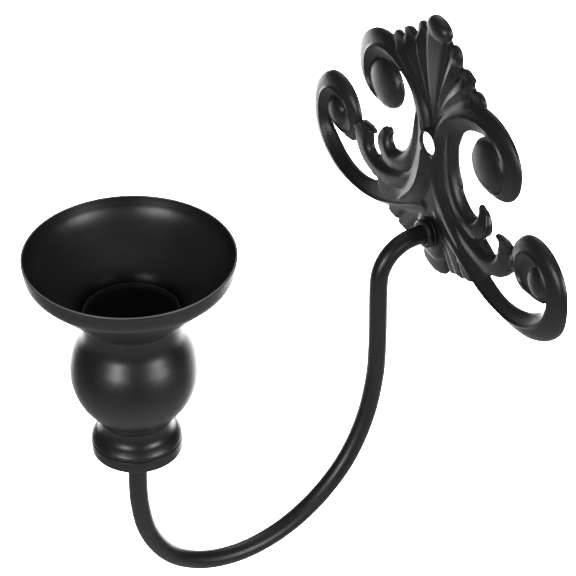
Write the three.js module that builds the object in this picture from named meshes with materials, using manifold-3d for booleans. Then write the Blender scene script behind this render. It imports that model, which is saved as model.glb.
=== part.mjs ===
// Wall sconce candle holder: a pressed scroll plate, a bent round bar and a turned cup.
// Millimetres, +Z up. The wall is the plane Y = 0, the front faces -Y, X = 0 is the
// plate's centre line and Z = 0 is the height where the bar leaves the plate.
import * as THREE from "three";
import { mergeVertices } from "three/addons/utils/BufferGeometryUtils.js";
import Module from "manifold-3d";

const wasm = await Module();
wasm.setup();

// ---- driving dimensions (mm) ----
const GAP = 0.3; // clearance between pieces that touch
const BAR_R = 4.0; // 8 mm round bar
const STUD_R = 3.0; // M6 end inside the cup
const BAR_OUT = 12.7; // straight length before the first bend
const BEND_R = 17.0; // first bend
const CUP_Y = -146.0; // axis of the cup
const BAR_LOW = -136.2; // lowest point of the bar's axis

const SHEET = 1.3; // pressed sheet thickness
const RIM_BACK = -2.5; // back of the plate's edge, clear of the wall
const RIM_FRONT = -3.8; // front of the plate's edge
const SEAT_Y = -5.2; // flat seat of the collar on the plate
const SEAT_R = 7.6;
const HOLE_Z = 44.5; // screw hole
const HOLE_R = 4.9;
const HOLE_PAD_R = 6.9;
const HOLE_PAD_Y = -8.0;
const HOLE_PAD_T = 2.8; // depth of the hole's wall

const COLLAR_R = 6.3; // round lock nut
const COLLAR_T = 2.3;
const WASHER_R = 6.9;
const WASHER_T = 0.9;
const REAR_WASHER_T = 0.7;
const REAR_NUT_AF = 13.0;

const BASE_Z = -56.9; // underside of the cup
const BASE_T = 5.2;
const BASE_R = 18.6;
const FOOT_TOP = -41.0;
const BALL_Z = -16.9;
const BALL_R = 25.8;
const BALL_HALF = 26.6; // half height of the slightly tall ball
const NECK_R = 20.0; // waist between the ball and the dish
const NECK_TOP = 7.4;
const NECK_T = 1.0;
const SHELL = 1.4; // wall of the hollow turned pieces
const DISH_Z = 38.0; // height of the rim
const DISH_R = 42.4;
const DISH_T = 1.0;
const SOCKET_R = 18.0; // candle socket bore
const SLEEVE_T = 0.7;
const LIP_R = 19.7; // flared lip of the socket sleeve, resting in the dish's throat
const SOCKET_STEP = -10.0; // ledge that the candle stands on
const WELL_R = 9.4; // narrower well below it, for the clamping nut
const WELL_FLOOR = -18.5;

const BLACK = 0x17171a;

// ---- helpers ----
function paint(color = BLACK, roughness = 0.38) {
  return new THREE.MeshStandardMaterial({ color, roughness, metalness: 0.15 });
}

function welded(geometry) {
  const g = geometry.clone();
  for (const name of Object.keys(g.attributes)) if (name !== "position") g.deleteAttribute(name);
  return mergeVertices(g, 1e-5);
}

function signedVolume(g) {
  const p = g.attributes.position;
  const a = new THREE.Vector3();
  const b = new THREE.Vector3();
  const c = new THREE.Vector3();
  let v = 0;
  for (let i = 0; i < g.index.count; i += 3) {
    a.fromBufferAttribute(p, g.index.getX(i));
    b.fromBufferAttribute(p, g.index.getX(i + 1));
    c.fromBufferAttribute(p, g.index.getX(i + 2));
    v += a.dot(b.cross(c)) / 6;
  }
  return v;
}

function facingOut(geometry) {
  const g = welded(geometry);
  if (signedVolume(g) < 0) {
    const ix = g.index.array;
    for (let i = 0; i < ix.length; i += 3) {
      const t = ix[i];
      ix[i] = ix[i + 1];
      ix[i + 1] = t;
    }
  }
  return g;
}

function solid(geometry) {
  const g = facingOut(geometry);
  return new wasm.Manifold(
    new wasm.Mesh({
      numProp: 3,
      vertProperties: Float32Array.from(g.attributes.position.array),
      triVerts: Uint32Array.from(g.index.array),
    }),
  );
}

function joined(list) {
  return list.reduce((a, b) => a.add(b));
}

function toGeometry(body) {
  const m = body.getMesh();
  const g = new THREE.BufferGeometry();
  g.setAttribute("position", new THREE.BufferAttribute(Float32Array.from(m.vertProperties), 3));
  g.setIndex(new THREE.BufferAttribute(Uint32Array.from(m.triVerts), 1));
  g.computeVertexNormals();
  return g;
}

function named(name, geometry, material) {
  const mesh = new THREE.Mesh(geometry, material);
  mesh.name = name;
  return mesh;
}

// Solid of revolution about Z from [radius, z] pairs; the profile closes on itself or on the axis.
function turned(profile, sides = 40) {
  const g = new THREE.LatheGeometry(profile.map(([r, z]) => new THREE.Vector2(r, z)), sides);
  g.rotateX(Math.PI / 2);
  return facingOut(g);
}

// The same about Y, for pieces on the bar's wall end: [radius, y] pairs.
function turnedAlongY(profile, x, z, sides = 32) {
  const g = new THREE.LatheGeometry(profile.map(([r, y]) => new THREE.Vector2(r, y)), sides);
  g.translate(x, 0, z);
  return facingOut(g);
}

function disc(r, y0, y1, x, z, sides = 32) {
  return turnedAlongY([[0, y0], [r, y0], [r, y1], [0, y1]], x, z, sides);
}

// ---- pressed relief of the plate ----
// A band follows a crest line. Each row is [x, z, crest y, width to the left, width to the right].
const SCROLL = [
  [13.5, 16, -6.9, 3, 4], [10, 22, -7.5, 4, 9.5], [7.5, 29.5, -7.8, 4, 13], [6.5, 37, -7.8, 4, 11],
  [6, 44, -7.7, 4, 10], [6.5, 51, -7.5, 4.5, 9.5], [8.5, 56.5, -7.4, 5, 9], [12.5, 62, -7.1, 5, 8],
  [18.5, 66, -7, 6, 6.5], [25.5, 69.5, -6.9, 6.5, 6.5], [35.5, 71, -6.9, 6.5, 6],
  [44, 68, -6.5, 7.5, 4.5], [49.5, 62, -5.8, 8.5, 3.5], [51, 54.5, -5.1, 8, 3],
  [50, 48.5, -4.7, 5.5, 2.5], [46, 44.5, -4.4, 3, 1.5],
];
const CLAW = [
  [12.5, 43, -6.5, 3.5, 3], [13.2, 35.5, -6.6, 4, 3], [16.8, 28.3, -6.6, 4.5, 3.3],
  [21.5, 23.4, -6.6, 4.5, 3.7], [27.5, 20.8, -6.6, 4, 3.9], [32.3, 21.3, -6.5, 3.6, 5.2],
  [35.6, 24.6, -6.1, 3.6, 5.8], [36, 28.2, -5.4, 3, 4.2], [34.6, 30.4, -4.4, 1.2, 1.2],
];
const BRANCH = [
  [20, 14.5, -6.5, 3, 4], [28.5, 11.5, -6.6, 3, 4.2], [35.5, 10, -6.6, 3, 4.2], [43, 10, -6.5, 3.5, 5],
  [49, 12.8, -6.3, 3.6, 6], [51.8, 17.5, -6.1, 4.2, 7], [51.2, 21.3, -5.5, 4, 6.5],
  [49, 23.8, -4.6, 2, 2], [46.3, 24.2, -4.1, 0.6, 0.6],
];
const LOWER = [
  [6.5, 10.5, -6.2, 5, 5], [14.5, 6.5, -6.3, 6, 6], [23, 2.5, -6.3, 7, 5.4], [31.5, -1, -6.3, 7.5, 5],
  [40, -4, -6.3, 5.6, 4.6], [49.5, -6, -6.3, 4.4, 4.5], [60, -6.2, -6.6, 4, 5.2], [70.5, -3.5, -7.2, 4, 7],
  [79, 1.5, -7.4, 4, 8], [84.5, 8.5, -7.2, 3.5, 8.5], [86.5, 16.5, -7, 4, 7.6],
  [85, 24.3, -7.2, 5, 6.9], [80, 29.8, -7.4, 5, 5.8], [73.5, 31.5, -7.4, 5, 5.2], [67.3, 29.8, -7, 4.5, 5],
  [63.5, 24.8, -6.3, 3.5, 5.2], [62.5, 19, -5.4, 3.5, 4.5], [65, 14, -4.6, 2.5, 4],
  [71.5, 12, -4.2, 2, 2], [79, 12, -4, 1, 1],
];
const TOP_PETAL = [
  [0, 54.5, -5.9, 1.5, 1.5], [0, 65, -6.3, 2.8, 2.8], [0, 75.5, -6.8, 5, 5],
  [0, 86, -7, 7, 7], [0, 93.5, -6.7, 8, 8], [0, 97.5, -6.4, 7.6, 7.6],
  [0, 100.5, -5.5, 5, 5], [0, 102, -4.4, 1, 1],
];
const SIDE_PETALS = [
  [[1.5, 60, -6, 1.5, 1.5], [4.5, 70.5, -6.4, 2.6, 2.6], [8, 80, -6.7, 3.8, 3.8],
    [10.5, 87.5, -6.5, 4.6, 4.6], [11.5, 92, -5.8, 4.2, 4.2], [12, 94.5, -4.4, 1.5, 1.5]],
  [[2.5, 60, -6, 1.5, 1.5], [8.5, 70, -6.4, 3, 3], [14.5, 77.5, -6.7, 4.4, 4.4],
    [18.6, 82.8, -6.4, 5.2, 5.2], [20.8, 85.8, -5.5, 4, 4], [22.2, 87.2, -4.4, 1.5, 1.5]],
  [[4, 60, -6, 1.5, 1.5], [11.5, 68, -6.4, 3, 3], [20, 73.8, -6.7, 4.4, 4.4],
    [26.2, 77, -6.4, 5.2, 5.2], [29.2, 79.2, -5.5, 4, 4], [31, 80.2, -4.4, 1.5, 1.5]],
];
const TAILS = [
  [[9.5, 9.5, -6.7, 2, 2], [16, 3.5, -6.5, 3, 3], [22.5, -2.5, -6.1, 4, 4],
    [27.5, -7, -4.8, 2.5, 2.5], [28.5, -8, -4.1, 1, 1]],
  [[7.5, 6.5, -6.5, 2, 2], [12, 0, -6.3, 2.5, 2.5], [17, -6, -5.7, 2.5, 2.5], [19.5, -9.5, -4.1, 1, 1]],
  [[5.5, 2, -6, 2, 2], [9, -4, -5.7, 2, 2], [13, -9, -5, 2, 2], [15.5, -12, -4.1, 1, 1]],
];
const SPINE = [
  [0, 58, -6.1, 4, 4], [0, 50.5, -7, 6, 6], [0, 42, -7.2, 6.5, 6.5], [0, 31.5, -7.1, 7.5, 7.5],
  [0, 21, -6.9, 9.5, 9.5], [0, 12, -6.2, 11.5, 11.5], [0, 3, -5.4, 10.5, 10.5], [0, -4, -5.2, 9, 9],
];
const TONGUE = [
  [0, 1, -5.2, 7, 7], [0, -5, -4, 7.5, 7.5], [0, -10, -2.6, 7.7, 7.7],
  [0, -15, -1.9, 7.7, 7.7], [0, -19, -1.7, 6.4, 6.4], [0, -21.5, -1.5, 2.5, 2.5],
];
const BUTTONS = [
  { x: 38.5, z: 52.5, y: -7.4, rx: 12.5, rz: 11.5 },
  { x: 76.5, z: 19.5, y: -7.0, rx: 7, rz: 6.5 },
];

// Flat webs between the bands, [x, z] round each outline.
const TRUNK_WEB = [
  [0, 61], [7, 59], [11, 51], [13, 38], [16.5, 28], [24, 21], [37, 18], [44, 14], [46.5, 8.5],
  [45, 4.5], [40, 0], [25, 1.5], [12, 0], [0, 2],
];
const FAN_WEB = [
  [0, 60], [0, 95], [7.4, 95.5], [13, 88.8], [23.4, 83.6], [32.6, 76], [28, 68], [15, 61],
];
const FOOT_WEB = [[0, 5], [12, 6], [26, 0], [27.5, -7], [21.5, -8], [15, -11], [9, -11.5], [6.5, -9], [0, -6]];
const EYE_WEBS = [{ x: 39.5, z: 53.5, rx: 12.5, rz: 12.5 }, { x: 73.5, z: 20.5, rx: 10, rz: 10 }];

// Outline of a band's section: across from -1 to 1, and 0 at its back, 1 at the edge, 2 at the crest.
const FULL_SECTION = [[-1, 0], [-1, 1], [-0.5, 1.62], [0, 2], [0.5, 1.62], [1, 1], [1, 0]];
const HOLLOW_SECTION = [[-1, 0], [-1, 1], [0, 2], [1, 1], [1, 0]];

function band(rows, side, section, steps, back, edge, inset) {
  const line = new THREE.CatmullRomCurve3(
    rows.map(([x, z, y]) => new THREE.Vector3(x, y, z)), false, "catmullrom", 0.5);
  const widths = new THREE.CatmullRomCurve3(
    rows.map((r) => new THREE.Vector3(r[3], r[4], 0)), false, "catmullrom", 0.5);
  const outline = new THREE.Shape(section.map(([u, v]) => new THREE.Vector2(u, v)));
  const g = new THREE.ExtrudeGeometry(outline, { depth: 1, steps, bevelEnabled: false });
  const p = g.attributes.position;
  for (let i = 0; i < p.count; i++) {
    const u = p.getX(i);
    const v = p.getY(i);
    const t = p.getZ(i);
    const c = line.getPoint(t);
    const d = line.getTangent(t);
    const n = Math.hypot(d.x, d.z);
    const w = widths.getPoint(t);
    const reach = u * Math.max((u > 0 ? w.x : w.y) - inset, 0.25);
    const crest = c.y + inset * 0.85;
    const y = v < 1 ? back : edge + (Math.min(crest, edge - 0.05) - edge) * (v - 1);
    p.setXYZ(i, side * (c.x - (d.z / n) * reach), y, c.z + (d.x / n) * reach);
  }
  return solid(g);
}

function raised(rows, side, steps, back = RIM_BACK) {
  return band(rows, side, FULL_SECTION, steps, back, back - SHEET, 0);
}

function pocket(rows, side, steps, back = RIM_BACK) {
  return band(rows, side, HOLLOW_SECTION, steps, back + 1, back, SHEET + 0.3);
}

function button({ x, z, y, rx, rz }, side, inset) {
  const rise = RIM_FRONT - y - inset;
  const profile = [[0, RIM_BACK + (inset ? 1 : 0)], [1, RIM_BACK + (inset ? 1 : 0)], [1, RIM_FRONT + inset]];
  for (let i = 1; i < 5; i++) {
    const a = (i / 5) * Math.PI / 2;
    profile.push([Math.cos(a), RIM_FRONT + inset - rise * Math.sin(a)]);
  }
  profile.push([0, RIM_FRONT + inset - rise]);
  const g = turnedAlongY(profile, 0, 0, inset ? 14 : 20);
  g.scale(rx - inset, 1, rz - inset);
  g.translate(side * x, 0, z);
  return solid(g);
}

function plateShape(shape, side) {
  const g = new THREE.ExtrudeGeometry(shape, { depth: SHEET, bevelEnabled: false, curveSegments: 8 });
  g.rotateX(Math.PI / 2);
  g.translate(0, RIM_BACK, 0);
  g.scale(side, 1, 1);
  return solid(g);
}

function web(points, side) {
  return plateShape(new THREE.Shape(points.map(([x, z]) => new THREE.Vector2(x, z))), side);
}

function eyeWeb({ x, z, rx, rz }, side) {
  const shape = new THREE.Shape();
  shape.absellipse(x, z, rx, rz, 0, Math.PI * 2, false, 0);
  return plateShape(shape, side);
}

function wallPlate() {
  const front = [raised(TOP_PETAL, 1, 10), raised(SPINE, 1, 8), raised(TONGUE, 1, 8, 0)];
  const back = [pocket(TOP_PETAL.slice(2, 7), 1, 5), pocket(SPINE, 1, 7), pocket(TONGUE.slice(0, 4), 1, 5, 0)];
  for (const side of [1, -1]) {
    front.push(raised(SCROLL, side, 28), raised(CLAW, side, 13), raised(BRANCH, side, 13), raised(LOWER, side, 34));
    for (const rows of SIDE_PETALS) front.push(raised(rows, side, 7));
    for (const rows of TAILS) front.push(raised(rows, side, 4));
    for (const b of BUTTONS) front.push(button(b, side, 0));
    for (const e of EYE_WEBS) front.push(eyeWeb(e, side));
    front.push(web(TRUNK_WEB, side), web(FAN_WEB, side), web(FOOT_WEB, side));
    back.push(pocket(SCROLL.slice(1, 14), side, 16), pocket(CLAW.slice(0, 7), side, 7));
    back.push(pocket(BRANCH.slice(0, 7), side, 7), pocket(LOWER.slice(0, 17), side, 20));
    for (const rows of SIDE_PETALS) back.push(pocket(rows.slice(1, 5), side, 3));
    for (const b of BUTTONS) back.push(button(b, side, SHEET));
  }
  const seatBack = SEAT_Y + SHEET;
  return toGeometry(
    joined(front)
      .subtract(joined(back))
      .subtract(solid(disc(SEAT_R, -30, SEAT_Y, 0, 0)))
      .add(solid(disc(SEAT_R + 1.6, SEAT_Y, seatBack, 0, 0)))
      .subtract(solid(disc(SEAT_R + 1, seatBack, 1, 0, 0)))
      .add(solid(disc(HOLE_PAD_R, HOLE_PAD_Y, HOLE_PAD_Y + HOLE_PAD_T, 0, HOLE_Z)))
      .subtract(solid(disc(HOLE_PAD_R - 0.4, HOLE_PAD_Y + HOLE_PAD_T, 1, 0, HOLE_Z)))
      .subtract(solid(disc(HOLE_R, -30, 5, 0, HOLE_Z)))
      .subtract(solid(disc(BAR_R + GAP, -30, 5, 0, 0, 24))),
  );
}

// ---- bent bar ----
class BarLine extends THREE.CurvePath {}

function barLine() {
  const path = new BarLine();
  const bend = [];
  for (let i = 0; i <= 6; i++) {
    const a = (i / 6) * Math.PI / 2;
    bend.push(new THREE.Vector3(0, -BAR_OUT - BEND_R * Math.sin(a), -BEND_R + BEND_R * Math.cos(a)));
  }
  const sweep = [
    [-29.7, -50], [-30.6, -66], [-35.2, -87], [-45, -107], [-60.5, -123], [-79, -133],
    [-98.5, BAR_LOW], [-117, -132.5], [-132, -122.5], [-142, -106.5], [CUP_Y, -88], [CUP_Y, BASE_Z - GAP],
  ].map(([y, z]) => new THREE.Vector3(0, y, z));
  path.add(new THREE.LineCurve3(new THREE.Vector3(0, 0, 0), bend[0]));
  path.add(new THREE.CatmullRomCurve3([...bend, ...sweep], false, "centripetal"));
  return path;
}

function bar() {
  const round = new THREE.Shape();
  round.absarc(0, 0, BAR_R, 0, Math.PI * 2, false);
  const g = new THREE.ExtrudeGeometry(round, { steps: 72, curveSegments: 6, extrudePath: barLine() });
  const studLength = WELL_FLOOR + 7.3 - (BASE_Z - 4);
  const stud = new THREE.CylinderGeometry(STUD_R, STUD_R, studLength, 20);
  stud.rotateX(Math.PI / 2);
  stud.translate(0, CUP_Y, BASE_Z - 4 + studLength / 2);
  return toGeometry(solid(g).add(solid(stud)));
}

// ---- fixings on the bar ----
function ring(inner, outer, low, high, chamfer = 0) {
  const c = chamfer;
  return turnedAlongY(
    [[inner, low], [outer - c, low], [outer, low + c], [outer, high - c], [outer - c, high], [inner, high], [inner, low]],
    0, 0, 24);
}

function hexNut(low, high) {
  const r = REAR_NUT_AF / 2 / Math.cos(Math.PI / 6);
  const g = new THREE.CylinderGeometry(r, r, high - low, 6);
  g.translate(0, (low + high) / 2, 0);
  return toGeometry(solid(g).subtract(solid(disc(BAR_R + GAP, low - 1, high + 1, 0, 0, 24))));
}

// ---- turned cup, about its own vertical axis ----
function baseDisc() {
  const top = BASE_Z + BASE_T;
  return turned([
    [STUD_R + GAP, BASE_Z], [BASE_R - 0.5, BASE_Z], [BASE_R, BASE_Z + 0.5], [BASE_R, top - 0.4],
    [BASE_R - 0.5, top], [STUD_R + GAP, top], [STUD_R + GAP, BASE_Z],
  ], 36);
}

function footBell() {
  const low = BASE_Z + BASE_T + GAP;
  return turned([
    [BASE_R - 0.4, low], [BASE_R - 0.2, low + 0.4], [17.6, low + 1], [16.5, low + 2.6], [15.6, low + 4.6],
    [14.8, low + 6.8], [14.5, low + 8.8], [14.7, FOOT_TOP], [STUD_R + GAP, FOOT_TOP],
    [STUD_R + GAP, FOOT_TOP - SHELL], [13, FOOT_TOP - SHELL], [13.2, low + 6.6],
    [14.2, low + 4], [15.4, low + 2], [16.6, low], [BASE_R - 0.4, low],
  ], 32);
}

// A slightly tall ball, drawn in to a waist at the top and filleted into the foot below.
function ball() {
  const at = (r, half, z) => r * Math.sqrt(Math.max(0, 1 - ((z - BALL_Z) / half) ** 2));
  const lowZ = FOOT_TOP + GAP;
  const outer = [[14.9, lowZ], [15.6, -39.6]];
  for (const z of [-38.4, -36.6, -34.3, -31, -26.5, -21.7, -16.9, -12.2, -7.6, -3]) {
    outer.push([at(BALL_R, BALL_HALF, z), z]);
  }
  outer.push([21.1, -0.6], [20.4, 2], [NECK_R + 0.1, 4.5], [NECK_R, NECK_TOP]);
  const inner = [];
  for (const z of [-4.5, -9, -16.9, -24.5, -30.5, -35, lowZ + SHELL]) {
    inner.push([at(BALL_R - SHELL, BALL_HALF - SHELL, z), z]);
  }
  return turned([
    [STUD_R + GAP, lowZ], ...outer, [NECK_R - NECK_T, NECK_TOP], [NECK_R - NECK_T, 2.6], ...inner,
    [STUD_R + GAP, lowZ + SHELL], [STUD_R + GAP, lowZ],
  ], 36);
}

function dish() {
  const low = NECK_TOP + GAP;
  return turned([
    [DISH_R, DISH_Z], [41.9, 33.4], [41.4, 31.4], [40.4, 29.8], [38.6, 27.9], [33.3, 22.5], [28.2, 17.5],
    [25.2, 14.7], [22.8, 12.4], [21.3, 10.8], [20.4, 9.2], [NECK_R, low], [NECK_R - NECK_T, low],
    [19.3, 9.2], [20.1, 10.8], [21.6, 12.6], [25.4, 16.3], [32, 22.9], [36.2, 27], [38.6, 30], [40.2, 32.6],
    [41, 35], [DISH_R - DISH_T, DISH_Z], [DISH_R, DISH_Z],
  ], 40);
}

// Deep-drawn socket: its lip lies in the dish's throat and its floor is clamped by the nut.
function socketSleeve() {
  const outer = SOCKET_R + SLEEVE_T;
  const well = WELL_R + SLEEVE_T;
  return turned([
    [LIP_R - 0.3, 10.2], [outer, 8.6], [outer, SOCKET_STEP - SLEEVE_T], [well, SOCKET_STEP - SLEEVE_T],
    [well, WELL_FLOOR - SLEEVE_T], [STUD_R + GAP, WELL_FLOOR - SLEEVE_T], [STUD_R + GAP, WELL_FLOOR],
    [WELL_R, WELL_FLOOR], [WELL_R, SOCKET_STEP], [SOCKET_R, SOCKET_STEP], [SOCKET_R, 8.8], [18.9, 10.4],
    [LIP_R, 11.1], [LIP_R - 0.3, 10.2],
  ], 40);
}

function cupWasher() {
  const low = WELL_FLOOR + GAP;
  return turned([[STUD_R + GAP, low], [8.5, low], [8.5, low + 1.2], [STUD_R + GAP, low + 1.2], [STUD_R + GAP, low]], 28);
}

function cupNut() {
  const low = WELL_FLOOR + GAP + 1.2 + GAP;
  const g = new THREE.CylinderGeometry(5.75, 5.75, 5, 6);
  g.rotateX(Math.PI / 2);
  g.translate(0, 0, low + 2.5);
  const bore = turned([[0, low - 1], [STUD_R + GAP, low - 1], [STUD_R + GAP, low + 6], [0, low + 6]], 20);
  return toGeometry(solid(g).subtract(solid(bore)));
}

// ---- assembly ----
const sconce = new THREE.Group();
sconce.add(named("wall_plate", wallPlate(), paint()));
sconce.add(named("arm_bar", bar(), paint()));
const washerLow = SEAT_Y - GAP - WASHER_T;
sconce.add(named("front_washer", ring(BAR_R + GAP, WASHER_R, washerLow, washerLow + WASHER_T), paint()));
const collarLow = washerLow - GAP - COLLAR_T;
sconce.add(named("front_collar", ring(BAR_R + GAP, COLLAR_R, collarLow, collarLow + COLLAR_T, 0.5), paint()));
const rearWasherLow = SEAT_Y + SHEET + GAP;
sconce.add(named("rear_washer", ring(BAR_R + GAP, 7.9, rearWasherLow, rearWasherLow + REAR_WASHER_T), paint()));
const rearNutLow = rearWasherLow + REAR_WASHER_T + GAP;
sconce.add(named("rear_nut", hexNut(rearNutLow, -GAP), paint()));

const cup = new THREE.Group();
cup.position.set(0, CUP_Y, 0);
cup.add(named("base_disc", baseDisc(), paint()));
cup.add(named("foot_bell", footBell(), paint()));
cup.add(named("ball", ball(), paint()));
cup.add(named("dish", dish(), paint()));
cup.add(named("socket_sleeve", socketSleeve(), paint()));
cup.add(named("cup_washer", cupWasher(), paint(0x8a8a8c, 0.45)));
cup.add(named("cup_nut", cupNut(), paint(0x8a8a8c, 0.45)));
sconce.add(cup);

export default sconce;
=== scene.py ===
import math

import bmesh
import bpy
import numpy as np
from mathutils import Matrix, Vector
from mathutils.geometry import delaunay_2d_cdt

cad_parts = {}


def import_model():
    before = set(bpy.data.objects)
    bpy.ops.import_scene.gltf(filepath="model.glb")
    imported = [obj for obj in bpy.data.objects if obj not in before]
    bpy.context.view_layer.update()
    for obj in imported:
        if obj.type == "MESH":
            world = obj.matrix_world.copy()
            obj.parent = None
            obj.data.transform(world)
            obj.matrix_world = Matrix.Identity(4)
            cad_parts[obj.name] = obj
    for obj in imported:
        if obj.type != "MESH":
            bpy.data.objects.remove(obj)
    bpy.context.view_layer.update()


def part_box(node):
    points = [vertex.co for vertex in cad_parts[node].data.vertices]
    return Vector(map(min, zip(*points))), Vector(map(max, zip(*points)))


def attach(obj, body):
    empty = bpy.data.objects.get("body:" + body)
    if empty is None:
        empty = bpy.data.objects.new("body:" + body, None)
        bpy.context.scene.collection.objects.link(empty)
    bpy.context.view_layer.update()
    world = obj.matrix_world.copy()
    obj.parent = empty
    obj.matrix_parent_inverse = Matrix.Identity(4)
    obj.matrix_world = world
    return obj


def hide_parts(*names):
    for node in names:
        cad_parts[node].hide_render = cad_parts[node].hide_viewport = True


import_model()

MM = 0.001
X, Y, Z = 0, 1, 2


def span(node, axis):
    """Lowest and highest place of a CAD node along one axis, in mm."""
    low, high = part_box(node)
    return low[axis] / MM, high[axis] / MM


def radius(node):
    """Radius of a round CAD node that is centred on X = 0, in mm."""
    return span(node, X)[1]


# ---- sizes read off the CAD part (mm) ----
CUP_Y = sum(span("base_disc", Y)) / 2
CUP = (0, CUP_Y)
BASE_LOW, BASE_HIGH = span("base_disc", Z)
FOOT_LOW, FOOT_HIGH = span("foot_bell", Z)
BALL_LOW, BALL_HIGH = span("ball", Z)
SLEEVE_LOW = span("socket_sleeve", Z)[0]
DISH_LOW, DISH_HIGH = span("dish", Z)
BAR_TOP = span("arm_bar", Z)[1]
BASE_R, BALL_R, DISH_R = radius("base_disc"), radius("ball"), radius("dish")
COLLAR_R, WASHER_R, BAR_R = radius("front_collar"), radius("front_washer"), radius("arm_bar")

# ---- pressed plate (mm): heights are measured from the wall towards the room ----
SHEET, THINNEST = 1.3, 0.6
RIM = 3.8  # front of the plate's edge
EDGE_R = 1.3  # the front rises from its edge along a quarter round of this width
EDGE_BREAK, EDGE_DROP = 0.4, 0.3  # width and depth of the softened edge
BACK_INSET, BACK_R = 1.0, 1.4  # the hollow behind starts this far in, and rises over this width
# Screw hole with its boss and a fine raised ring, then the lock nut's flat seat round the bar.
HOLE_Z, HOLE_R, BOSS_R, BOSS_HEIGHT, BOSS_FLANK = 44.5, 4.9, 7.0, 7.7, 1.4
RING_OUT, RING_WIDTH, RING_RISE = 0.7, 0.5, 0.25
SEAT_HEIGHT, SEAT_R, SEAT_FLANK = 5.2, 7.6, 1.2
BAR_HOLE_R = 4.3
# The rim falls to the tongue's level below TONGUE_TOP, between its two sides.
TONGUE_RIM = 1.3
TONGUE_TOP, TONGUE_SLOPE = -6, 6
TONGUE_SIDE, TONGUE_SIDE_SLOPE = 11.5, 2
# The rim is lower round the inner end of each C-scroll.
DIP_CENTRE, DIP_R, DIP_SLOPE, DIP_DEPTH = (35, 51.8), 14, 8, 1.0
OUTER_FALL = 1.5  # slope outside the edge of a layer
FAR = -50.0  # height of places that a layer doesn't reach

# Rows of a band: [x, z, height of the crest, width to its left, width to its right]. The right
# half of the plate is given, and the left half mirrors it.
SCROLL = [
    [26, 1.4, 4.8, 3, 6], [19.6, 6.8, 5.8, 4.5, 9], [13.3, 13.4, 6.8, 6.5, 11],
    [8.3, 21.2, 7.4, 6.5, 12.5], [5.4, 29.5, 7.7, 5, 15], [4.2, 37, 7.8, 4, 13.4],
    [4.2, 44, 7.7, 4, 11.8], [5.4, 51, 7.5, 4.5, 10.6], [8.2, 56.8, 7.4, 5, 9.4],
    [12.5, 62.6, 7.1, 5, 8], [18.5, 67, 7, 5.4, 7], [25.5, 70.3, 6.9, 5.6, 7],
    [35.5, 71.8, 6.9, 5.6, 6.5], [44.5, 68.8, 6.6, 6.6, 5], [50.5, 62.3, 6.0, 7.6, 4],
    [52, 54.5, 5.4, 7, 3.4], [50.4, 48.3, 5.0, 5, 2.8], [46, 44.5, 4.8, 3, 2],
    [40.5, 42.8, 4.5, 1.7, 1.5],
]
CLAW = [
    [11.4, 57, 5.6, 1.6, 1.2], [11.7, 50, 6.3, 2.8, 1.8], [12.3, 43, 6.4, 3.4, 2.4],
    [13.4, 35.5, 6.5, 4, 2.8], [16.8, 28.3, 6.7, 4.5, 3.3],
    [21.5, 23.4, 6.8, 4.5, 3.7], [27.5, 20.8, 6.9, 4, 3.9], [32.3, 21.3, 6.8, 3.6, 5.2],
    [35.6, 24.6, 6.4, 3.6, 5.9], [36, 28.2, 5.6, 3, 4.4], [34.7, 30.6, 4.6, 2, 2],
]
BRANCH = [
    [11.5, 27.5, 4.6, 1.5, 1.5], [15, 20.5, 5.6, 2.4, 2.6], [21, 14.9, 6.2, 3, 3.6],
    [28.5, 11.7, 6.4, 3, 4.2], [35.5, 10, 6.6, 3, 4.2], [43, 10, 6.6, 3.5, 5],
    [49, 12.8, 6.5, 3.6, 6], [51.8, 17.5, 6.3, 4.2, 7], [51.2, 21.3, 5.6, 4, 6.5],
    [49, 23.8, 4.8, 2, 2.6], [46.3, 24.3, 4.4, 1, 1],
]
LOWER = [
    [6.5, 10.5, 5.8, 5, 5], [14.5, 6.3, 5.9, 6, 5], [23, 1.6, 5.9, 8, 3.6], [31.5, -2.6, 5.9, 9, 2.6],
    [40, -5.9, 5.9, 7.6, 2.2], [49.5, -7.9, 5.9, 6.3, 2.4], [60, -7.6, 6.3, 5.4, 3.6],
    [70.5, -4.2, 7.0, 4.8, 6.2], [79, 1.5, 7.3, 4.5, 7.8], [84.3, 8.5, 7.2, 3.5, 8.5],
    [86.3, 16.5, 7, 4, 7.6], [84.8, 24.5, 7.1, 5, 7.4], [79.9, 30.3, 7.3, 5, 6.6],
    [73.3, 32.2, 7.3, 5, 6.2],
    [67, 30.2, 6.9, 4.5, 5.8], [63.2, 25, 6.2, 3.5, 5.4], [62.4, 19, 5.4, 3.5, 4.5],
    [65, 14, 4.8, 2.5, 4], [71.5, 12, 4.4, 2, 2], [79, 12, 4.1, 1, 1],
]
TOP_PETAL = [
    [0, 50, 4.8, 1, 1], [0, 57, 5.4, 1.8, 1.8], [0, 66, 5.9, 3.4, 3.4], [0, 75.5, 6.3, 5.4, 5.4],
    [0, 84, 6.3, 7.0, 7.0], [0, 90.5, 5.9, 7.9, 7.9], [0, 93, 5.6, 7.9, 7.9],
]
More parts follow.
